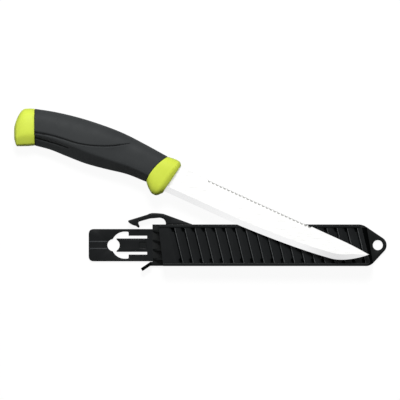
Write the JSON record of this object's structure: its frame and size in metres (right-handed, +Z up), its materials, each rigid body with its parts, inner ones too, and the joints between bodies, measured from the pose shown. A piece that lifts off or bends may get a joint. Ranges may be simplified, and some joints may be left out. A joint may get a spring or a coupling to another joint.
{
  "type": "fish scaler knife with sheath",
  "caption": "Fishing knife with scaling teeth cut in its spine and a two-tone handle, lying across a ribbed belt sheath with a button strap and a snap latch.",
  "frame": {"origin": "on the ground, under the middle of the box around the knife and sheath as they lie in the picture", "axes": "+X along the sheath from its mouth to its nose, +Y across the sheath towards its latch, +Z up, away from the sheath's flat back"},
  "size_m": [0.272, 0.1188, 0.0238],
  "materials": {
    "blade_steel": "fine ground stainless steel",
    "lime_plastic": "satin moulded plastic",
    "soft_grip": "matt soft rubber",
    "sheath_plastic": "satin moulded plastic"
  },
  "bodies": {
    "sheath": {"sheath_back": "sheath_plastic", "sheath_front": "sheath_plastic"},
    "strap": {"belt_strap": "sheath_plastic"},
    "tongue": {"button_tongue": "sheath_plastic"},
    "latch": {"latch_hook": "sheath_plastic"},
    "knife": {"blade": "blade_steel", "handle_core": "lime_plastic", "grip_sleeve": "soft_grip"}
  },
  "joints": [
    {"name": "strap_bend", "type": "hinge", "parent": "sheath", "child": "strap", "pos_m": [-0.03527, -0.04042, 0.0011], "axis": [0, 1, 0], "range_deg": [-12, 12], "stiffness_Nm_per_rad": 0.2},
    {"name": "tongue_bend", "type": "hinge", "parent": "strap", "child": "tongue", "pos_m": [-0.03917, -0.04042, 0.0011], "axis": [0, 1, 0], "range_deg": [-12, 12], "stiffness_Nm_per_rad": 0.05},
    {"name": "latch_bend", "type": "hinge", "parent": "sheath", "child": "latch", "pos_m": [-0.02592, -0.02042, 0.0035], "axis": [0, 0, -1], "range_deg": [0, 10], "stiffness_Nm_per_rad": 0.2},
    {"name": "knife_lift", "type": "slide", "parent": "sheath", "child": "knife", "axis": [0, 0, 1], "range_m": [0, 0.12]}
  ]
}
